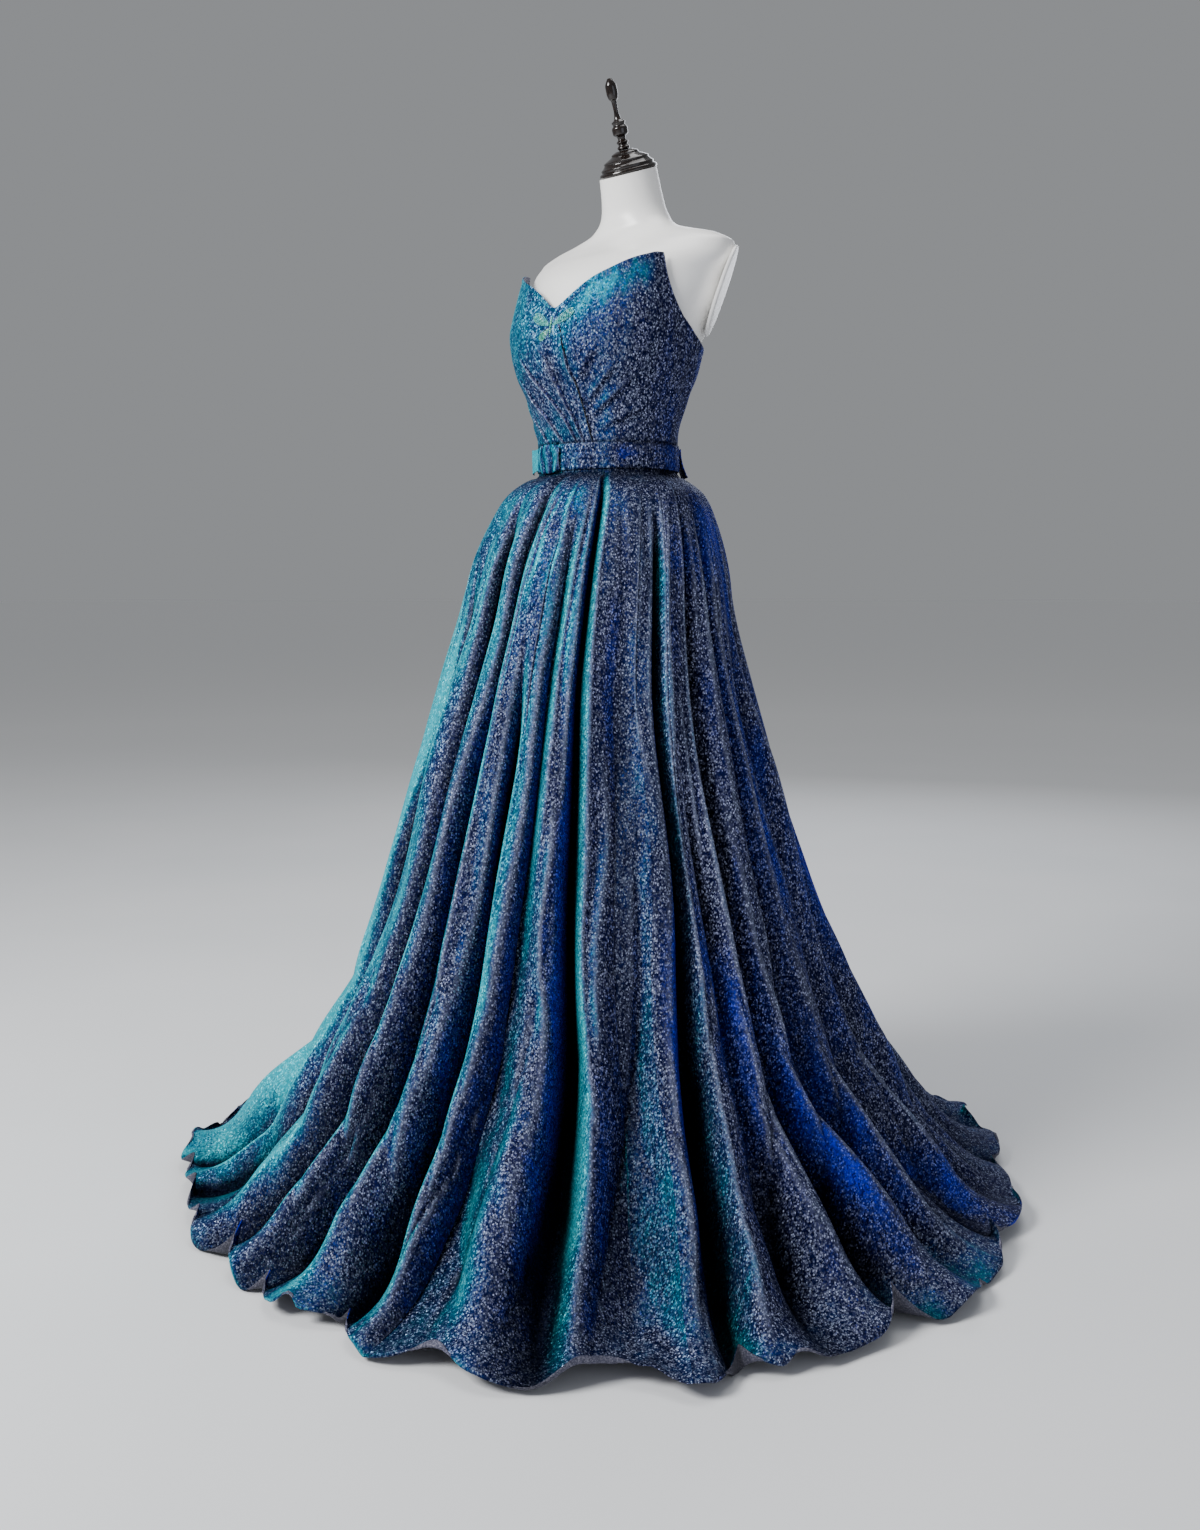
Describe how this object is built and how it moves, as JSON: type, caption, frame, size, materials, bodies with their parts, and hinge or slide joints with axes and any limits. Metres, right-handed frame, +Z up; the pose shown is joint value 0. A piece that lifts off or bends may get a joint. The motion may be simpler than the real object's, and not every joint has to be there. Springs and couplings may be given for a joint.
{
  "type": "strapless evening dress on a limbless dress form",
  "caption": "Floor-length strapless evening dress with a draped bodice, belt and pleated flared skirt, standing on a limbless dress form with a turned finial, pole and round base.",
  "frame": {"origin": "centre of the flat underside of the stand's round base, on the floor, below the waist's axis", "axes": "+Z up, -Y the way the dress faces, +X the wearer's left"},
  "size_m": [1.3815, 1.3645, 1.7487],
  "materials": {
    "dress_cloth": "blue and teal glitter lurex cloth with a soft sheen",
    "belt_satin": "teal side of the same cloth, satin sheen",
    "beading": "pale mint and aqua beads and sequins, glossy",
    "form_shell": "smooth white moulded shell, semi-matt",
    "turned_wood": "turned and dark polished, glossy",
    "stand_steel": "black enamel, semi-gloss"
  },
  "bodies": {
    "root": {"bodice_front_right": "dress_cloth", "bodice_front_left": "dress_cloth", "bodice_back_left": "dress_cloth", "bodice_back_right": "dress_cloth", "skirt_side_front_right": "dress_cloth", "skirt_front_centre": "dress_cloth", "skirt_side_front_left": "dress_cloth", "skirt_back_left": "dress_cloth", "skirt_back_right": "dress_cloth", "skirt_side_back_right": "dress_cloth", "belt": "dress_cloth", "belt_loop": "belt_satin", "belt_end_front": "belt_satin", "belt_end_back": "dress_cloth", "butterfly_body": "beading", "butterfly_wing_upper_left": "beading", "butterfly_wing_upper_right": "beading", "butterfly_wing_lower_left": "beading", "butterfly_wing_lower_right": "beading", "form_torso": "form_shell", "arm_plate_left": "form_shell", "arm_plate_right": "form_shell", "neck_cap": "turned_wood", "finial": "turned_wood", "stand_base": "stand_steel", "stand_pole": "stand_steel"}
  },
  "joints": []
}
